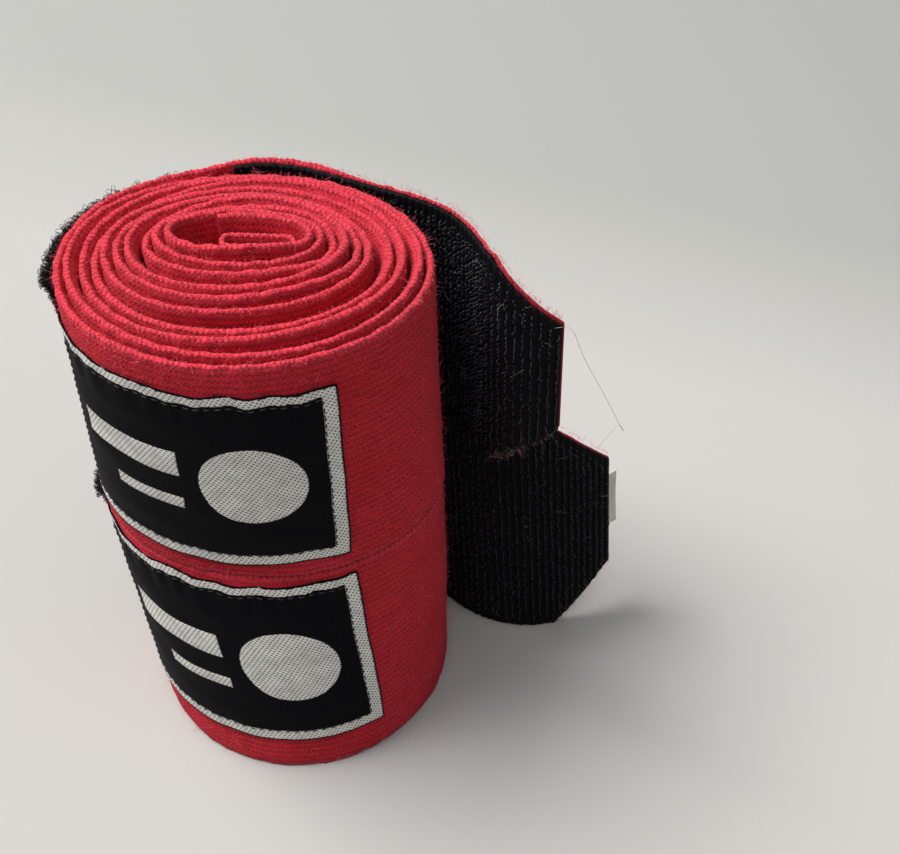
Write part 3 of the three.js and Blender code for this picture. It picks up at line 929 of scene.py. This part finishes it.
def make_label(wrap, unrolled, looks):
    """The sewn label. x runs from its right end leftward, and y up from its lower edge."""
    name, line, height = wrap["name"], unrolled.line, LABEL["height"]
    right, left = (unrolled.distance_to(facing(wrap, LABEL[side])) for side in ("end", "start"))
    length = left - right
    lean = wrap["label_lean"] / 360 * (unrolled.length - unrolled.distance_to(TURNS - 1))
    low = wrap["label_low"]
    seed = wrap["seed"] + 40

    def spot(x, y):
        """Where (x, y) on the label is on the band, as a distance along it and a height."""
        ragged = 0.35 * ripples_along(x, 7, seed) * smoothstep(y, height - 9, height)
        ragged = ragged + 0.14 * ripples_along(x, 11, seed + 1) * smoothstep(y, 9, 0)
        side = 0.15 * ripples_along(y, 12, seed + 2)
        return right + x + side - lean * (height - y) / height, low + y + ragged

    def puff(x, y):
        """How far the label's face stands off the band: flat at its seam and full within it."""
        edge = np.minimum(np.minimum(x, length - x), np.minimum(y, height - y))
        within = smoothstep(edge, 1.6, 9)
        pucker = 0.13 * np.cos(2 * math.pi * x / 4.6 + 2 * ripples(np.stack([x, y * 0.3], -1), 18, seed + 3))
        near_top = hump(height - y - 3.4, 2.6) + 0.35 * hump(y - 3.0, 2.4)
        creases = 0.08 * ripples(np.stack([x * 0.7, y * 1.2], -1), 10, seed + 4)
        return 0.24 + 0.2 * within + pucker * near_top + creases * (0.3 + within)

    x, y = np.meshgrid(np.linspace(0, length, 190), np.linspace(0, height, 150), indexing="ij")
    along, v = spot(x, y)
    face = FACE + puff(x, y) + 0.1
    cloth = flat_cloth(x, y)
    rows, columns = x.shape
    points = np.stack([
        on_line(line, unrolled.place(along), v, face),
        on_line(line, unrolled.place(along), v, FACE + 0.02),
    ])
    faces, cloth = sheet_faces(rows, columns), np.stack([cloth, cloth])
    piece = new_piece(f"{name}_label", points, faces, cloth, looks["label"])
    size = piece.data.attributes.new("label_length", "FLOAT", "POINT")
    size.data.foreach_set("value", np.full(2 * rows * columns, length, np.float32))
    attach(piece, wrap, "wrap", "woven_label")

    def on_label(place, up, rise):
        where, over = spot(place, up)
        return on_line(line, unrolled.place(where), over, FACE + puff(place, up) + 0.1 + rise)

    a, b, c, d = LABEL_STITCH, length - LABEL_STITCH, LABEL_STITCH, height - LABEL_STITCH
    corners = [(a, c), (b, c), (b, d), (a, d)]
    thread = looks["label_thread"]
    seam = make_stitches(f"{name}_label_seam", on_label, corners, 1.7, 0.13, thread, seed + 1, sunk=0.09)
    attach(seam, wrap, "wrap", "label_stitching")
    return [piece, seam]


# ---- Thumb loop ----


def make_thumb_loop(wrap, looks):
    """The strip folded into a closed loop in the core, and the bar tack that closes it."""
    name, line = wrap["name"], thumb_loop_line(wrap)
    length = 2 * (THUMB_LOOP["straight"] + math.pi * THUMB_LOOP["radius"])
    low, high = THUMB_LOOP["low"], THUMB_LOOP["high"]
    stations = 110
    s = np.linspace(0, length, stations, endpoint=False)[:, None]
    half = THUMB_LOOP["thickness"] / 2
    bead = np.radians(np.linspace(0, 180, 6))
    upper, lower = high - half + half * np.sin(bead), low + half - half * np.sin(bead)
    section_v = np.concatenate([[low + 3, high - 3], upper, [high - 3, low + 3], lower])
    section_out = np.concatenate([[-half, -half], -half * np.cos(bead), [half, half], half * np.cos(bead)])
    corners = len(section_v)
    v = section_v + 0.08 * np.cos(2 * math.pi * s / 1.4) * (section_v > high - 1)
    out = np.broadcast_to(section_out, v.shape)
    points = on_line(line, np.broadcast_to(s, v.shape), v, out)
    i, j = np.meshgrid(np.arange(stations), np.arange(corners), indexing="ij")
    k, after = (j + 1) % corners, (i + 1) % stations
    faces = np.stack([i * corners + j, i * corners + k, after * corners + k, after * corners + j], -1)
    cloth = np.stack([np.broadcast_to(s, v.shape), v + BAND_WIDTH - high, out], -1)
    piece = new_piece(f"{name}_loop_strip", points, faces.reshape(-1, 4).tolist(), cloth, looks["cotton"])
    attach(piece, wrap, "wrap", "thumb_loop")

    tack_v = np.arange(BARTACK["low"], BARTACK["high"], 0.55)
    sides = np.where(np.arange(len(tack_v)) % 2, BARTACK["end"], BARTACK["start"])
    fine = np.linspace(tack_v[0], tack_v[-1], len(tack_v) * 6)
    zigzag = np.interp(fine, tack_v, sides)
    path = on_line(line, zigzag, fine, half + 0.22)[None]
    points, faces = threads(path, 0.2, np.array([[0.0, 0.0, 1.0]]), sides=6)
    cloth = np.repeat(flat_cloth(fine, zigzag), 6, axis=0)
    tack = new_piece(f"{name}_bartack", points, faces, cloth, looks["red_thread"])
    attach(tack, wrap, "wrap", "thumb_loop_bartack")
    return [piece, tack]


# ---- Care tag ----


def make_care_tag(wrap, line, looks):
    low, high = CARE_TAG["low"], CARE_TAG["high"]
    along = np.linspace(CARE_TAG["start"], CARE_TAG["end"], 30)
    s, v = np.meshgrid(along, np.linspace(low, high, 40), indexing="ij")
    curl = 0.25 * smoothstep(s, 74, 78.2) * np.sin((v - low) / (high - low) * math.pi)
    near = THIN_BACK + 0.05 + curl
    far, cloth = near + CARE_TAG["thickness"], flat_cloth(s, v)
    piece = make_slab(f"{wrap['name']}_tag", line, s, v, far, near, cloth, looks["tag"])
    return attach(piece, wrap, "flap", "care_tag")


# ---- Loose fibres ----

NAP_ON_EDGES, NAP_ON_FACE, LINT_ON_HOOKS = 5200, 4200, 150
LOOSE_THREAD = (
    (0, 0, 0), (3, -1, 1), (5, -2, -6), (9, -4, -15), (12.5, -5, -24), (11, -6, -19), (7, -7, -24),
)
THREAD_FROM = {"place": 73.0, "height": 38.0}


def make_fibres(name, roots, normals, lengths, radius, material, seed, droop=0.6):
    """Short curved fibres standing at the roots, each along its normal and bent at random."""
    rng = np.random.default_rng(seed)
    count = len(roots)
    stations, sides = 5, 3
    steps = np.linspace(0, 1, stations)[None, :, None]
    bend = unit(rng.normal(size=(count, 1, 3)))
    curl = unit(rng.normal(size=(count, 1, 3)))
    size = np.asarray(lengths)[:, None, None]
    straight = normals[:, None] * (steps - 0.5 * droop * steps**2)
    paths = roots[:, None] + size * (straight + bend * droop * steps**2 + curl * 0.25 * steps**3)
    paths[..., 2] = np.maximum(paths[..., 2], radius)
    plane = unit(rng.normal(size=(count, 3)))
    points, faces = threads(paths, radius * np.linspace(1, 0.35, stations), plane, sides)
    return new_piece(name, points, faces, np.repeat(roots * 1.7, stations * sides, axis=0), material)


def make_band_fuzz(wrap, unrolled, looks):
    """The nap on the roll: fibres off its upper edges and its outer face."""
    rng = np.random.default_rng(wrap["seed"] + 50)
    name, line = wrap["name"], unrolled.line
    edge_count, face_count = NAP_ON_EDGES, NAP_ON_FACE
    s = rng.uniform(2, unrolled.length - 1, edge_count)
    turn = unrolled.place(s)
    angle = rng.uniform(-0.3, math.pi + 0.3, edge_count)
    v = BAND_WIDTH - SELVEDGE + SELVEDGE * np.sin(angle)
    out = -SELVEDGE * np.cos(angle)
    side = outward(line, turn, v)
    edge_roots = on_line(line, turn, v + edge_rise(wrap, turn), out + slack(wrap, turn))
    edge_normals = -np.cos(angle)[:, None] * side + np.sin(angle)[:, None] * np.array([0, 0, 1.0])

    s = rng.uniform(unrolled.distance_to(TURNS - 1), unrolled.length - 1, face_count)
    turn = unrolled.place(s)
    v = rng.uniform(0.5, BAND_WIDTH - 0.3, face_count)
    degrees = wrap["hinge_angle"] + 360 * (TURNS - turn)
    label_top = wrap["label_low"] + LABEL["height"]
    shift = wrap["label_lean"] * (label_top - v) / LABEL["height"]
    on_label = (degrees > LABEL["start"] + shift - 2) & (degrees < LABEL["end"] + shift + 2)
    on_label &= (v > wrap["label_low"] - 1) & (v < label_top + 1)
    bare = ~on_label & ~((degrees < LOOP_TAPE["end"] + 2) & (v > 1.5) & (v < BAND_WIDTH - 1.5))
    turn, v, face_count = turn[bare], v[bare], int(bare.sum())
    face_roots = on_line(line, turn, v, BODY)
    skim = rng.normal(size=(face_count, 1)) * unit(on_line(line, turn + 0.002, v, BODY) - face_roots)
    face_normals = unit(0.45 * outward(line, turn, v) + skim + rng.normal(0, 0.3, (face_count, 3)))
    roots = np.concatenate([edge_roots, face_roots])
    normals = np.concatenate([unit(edge_normals + rng.normal(0, 0.45, edge_normals.shape)), face_normals])
    lengths = np.concatenate([rng.uniform(0.25, 0.9, edge_count), rng.uniform(0.5, 1.7, face_count)])
    fuzz = make_fibres(f"{name}_roll_nap", roots, normals, lengths, 0.028, looks["nap"], wrap["seed"] + 51)
    return attach(fuzz, wrap, "wrap")


def make_flap_fuzz(wrap, line, looks):
    """Red fibres and thread ends along the free end's edges, and pale lint caught on the hooks."""
    rng = np.random.default_rng(wrap["seed"] + 60)
    name = wrap["name"]
    count = wrap["frayed"]
    s = rng.uniform(7, FLAP_LENGTH, count)
    top = rng.random(count) < 0.65
    drawn_in = chamfer_at(s, FLAP_LENGTH)
    v = np.where(top, BAND_WIDTH - drawn_in, drawn_in)
    roots = on_line(line, s, v, rng.uniform(-0.5, 0.5, count))
    up = np.where(top, 1.0, -1.0)[:, None] * np.array([0, 0, 1.0])
    normals = unit(up + rng.normal(0, 0.6, (count, 3)))
    frayed = s > FLAP_LENGTH - CHAMFER
    lengths = np.where(frayed, rng.uniform(0.4, 1.5, count), rng.uniform(0.2, 0.9, count))
    red = make_fibres(f"{name}_flap_nap", roots, normals, lengths, 0.032, looks["nap"], wrap["seed"] + 61)
    attach(red, wrap, "flap")

    count = LINT_ON_HOOKS
    s = rng.uniform(12, FLAP_LENGTH - 2, count)
    low = HOOK_TAPE["margin"] + chamfer_at(s, FLAP_LENGTH - HOOK_TAPE["margin"])
    v = low + (BAND_WIDTH - 2 * low) * rng.random(count)
    on_cut = rng.random(count) < 0.35
    s = np.where(on_cut, FLAP_LENGTH - rng.uniform(1, CHAMFER, count), s)
    low = HOOK_TAPE["margin"] + chamfer_at(s, FLAP_LENGTH - HOOK_TAPE["margin"])
    v = np.where(on_cut, low + rng.uniform(0.2, 1.2, count), v)
    roots = on_line(line, s, v, -FACE - HOOK_TAPE["height"] + 0.1)
    normals = unit(rng.normal(size=(count, 3)))
    lengths, seed = rng.uniform(0.8, 3.2, count), wrap["seed"] + 62
    lint = make_fibres(f"{name}_hook_lint", roots, normals, lengths, 0.022, looks["lint"], seed, droop=1.0)
    attach(lint, wrap, "flap")
    return [red, lint]


def make_loose_thread(wrap, line, looks):
    """One long thread that hangs from the hook tape: its knots joined, smoothed and hung in place."""
    knots = np.array(LOOSE_THREAD)
    along = np.linspace(0, len(knots) - 1, 90)
    strand = np.stack([np.interp(along, range(len(knots)), knots[:, axis]) for axis in range(3)], -1)
    reach = 10
    kernel = np.hanning(2 * reach + 1)
    kernel /= kernel.sum()
    padded = np.pad(strand, ((reach, reach), (0, 0)), mode="edge")
    strand = np.stack([np.convolve(padded[:, axis], kernel, mode="valid") for axis in range(3)], -1)
    strand = strand + on_line(line, THREAD_FROM["place"], THREAD_FROM["height"], -FACE - 1.0)
    points, faces = threads(strand[None], 0.035, np.array([[0.3, 1.0, 0.2]]), sides=4)
    cloth = np.repeat(strand, 4, axis=0)
    piece = new_piece(f"{wrap['name']}_loose_thread", points, faces, cloth, looks["lint"])
    return attach(piece, wrap, "flap")


# ---- Camera, floor and light ----

# The camera fitted to the photo: it looks down by pitch, turns right of +Y by yaw, and tilts by roll.
CAMERA = {"pitch": 48.12, "yaw": 9.81, "roll": -1.65, "lens": 64.0, "place": (-17.5, -192.8, 274.7)}


def add_camera():
    pitch, yaw, roll = (math.radians(CAMERA[turn]) for turn in ("pitch", "yaw", "roll"))
    forward = Vector((math.sin(yaw) * math.cos(pitch), math.cos(yaw) * math.cos(pitch), -math.sin(pitch)))
    right = Vector((math.cos(yaw), -math.sin(yaw), 0))
    up = right.cross(forward)
    level_right = right * math.cos(roll) + up * math.sin(roll)
    level_up = up * math.cos(roll) - right * math.sin(roll)
    camera = bpy.data.objects.new("camera", bpy.data.cameras.new("camera"))
    camera.data.lens = CAMERA["lens"]
    camera.data.clip_start = 0.01
    turn = Matrix((level_right, level_up, -forward)).transposed().to_4x4()
    camera.matrix_world = Matrix.Translation(Vector(CAMERA["place"]) * MM) @ turn
    bpy.context.scene.collection.objects.link(camera)
    bpy.context.scene.camera = camera


def add_stage():
    """A pale table top that sweeps up far behind the wraps."""
    rise_from, radius, top = 0.6, 0.35, 0.9
    profile = [(-1.6, 0.0), (-0.6, 0.0), (0.0, 0.0), (rise_from, 0.0)]
    profile += [
        (rise_from + radius * math.sin(a), radius * (1 - math.cos(a)))
        for a in np.radians(np.linspace(6, 90, 15))
    ]
    profile.append((rise_from + radius, top))
    across = np.linspace(-1.8, 1.8, 13)
    points = np.array([[(x, y, z - 0.00005) for x in across] for y, z in profile])
    mesh = bpy.data.meshes.new("table")
    mesh.from_pydata(points.reshape(-1, 3).tolist(), [], grid_faces(*points.shape[:2]).tolist())
    mesh.polygons.foreach_set("use_smooth", np.ones(len(mesh.polygons), bool))
    mesh.materials.append(floor_look())
    table = bpy.data.objects.new("table", mesh)
    bpy.context.scene.collection.objects.link(table)


def add_light(name, place, aim, size, power, tint):
    data = bpy.data.lights.new(name, "AREA")
    data.shape = "RECTANGLE"
    data.size, data.size_y = size
    data.energy = power
    data.color = tint
    light = bpy.data.objects.new(name, data)
    light.location = place
    light.rotation_euler = (Vector(aim) - Vector(place)).to_track_quat("-Z", "Y").to_euler()
    bpy.context.scene.collection.objects.link(light)


def add_lights():
    middle = (0, 0, 0.05)
    add_light("ceiling", (-0.44, 0.24, 1.08), middle, (0.64, 0.56), 24, (1.0, 0.985, 0.968))
    add_light("room", (0.2, -0.4, 1.4), middle, (1.3, 1.1), 7.5, (0.97, 0.985, 1.0))
    world = bpy.data.worlds.new("world")
    world.use_nodes = True
    world.node_tree.nodes["Background"].inputs["Color"].default_value = (0.86, 0.9, 0.88, 1)
    world.node_tree.nodes["Background"].inputs["Strength"].default_value = 0.17
    bpy.context.scene.world = world


# ---- Putting it together ----


def make_wrap(wrap, looks):
    unrolled = Unrolled(roll_line(wrap), 0, TURNS)
    flap = flap_line(wrap)
    rolled_band = make_rolled_band(wrap, unrolled, looks["cotton"])
    free_end = make_free_end(wrap, flap, unrolled.length, looks["cotton"])
    on_roll = [
        *make_loop_tape(wrap, unrolled, looks),
        *make_label(wrap, unrolled, looks),
        *make_thumb_loop(wrap, looks),
        make_band_fuzz(wrap, unrolled, looks),
    ]
    on_flap = [*make_hook_tape(wrap, flap, looks), *make_flap_fuzz(wrap, flap, looks)]
    if wrap["loose_thread"]:
        on_flap.append(make_loose_thread(wrap, flap, looks))
    if wrap["care_tag"]:
        on_flap.append(make_care_tag(wrap, flap, looks))


LOOKS = {
    "cotton": cotton_look(),
    "nap": fibre_look("nap", colour(196, 40, 58), colour(236, 112, 120)),
    "lint": fibre_look("lint", colour(90, 88, 92), colour(190, 186, 186)),
    # The second colour of each thread is a painted highlight on the crests of its twist.
    "red_thread": thread_look("red_thread", colour(120, 8, 24), colour(206, 52, 66)),
    "black_thread": thread_look("black_thread", colour(12, 12, 15), colour(52, 52, 58)),
    "label_thread": thread_look("label_thread", colour(22, 22, 25), colour(84, 84, 88)),
    # The second colour of hook_web and of loop_web is a painted highlight on their ribs.
    "hook_web": web_look("hook_web", colour(5, 5, 8), colour(16, 16, 20), 1.3),
    # The hooks' paler tone is partly their own and partly painted glint.
    "hooks": filament_look("hooks", colour(7, 7, 11), colour(48, 48, 60), 0.36),
    "loop_web": web_look("loop_web", colour(6, 6, 9), colour(16, 16, 20), 0.8),
    "pile": filament_look("pile", colour(5, 5, 8), colour(18, 17, 24), 0.7, 0.2),
    "label": label_look(),
    "tag": tag_look(),
}

add_camera()
for each in WRAPS:
    make_wrap(each, LOOKS)
add_stage()
add_lights()
bpy.context.scene.view_settings.view_transform = "Standard"
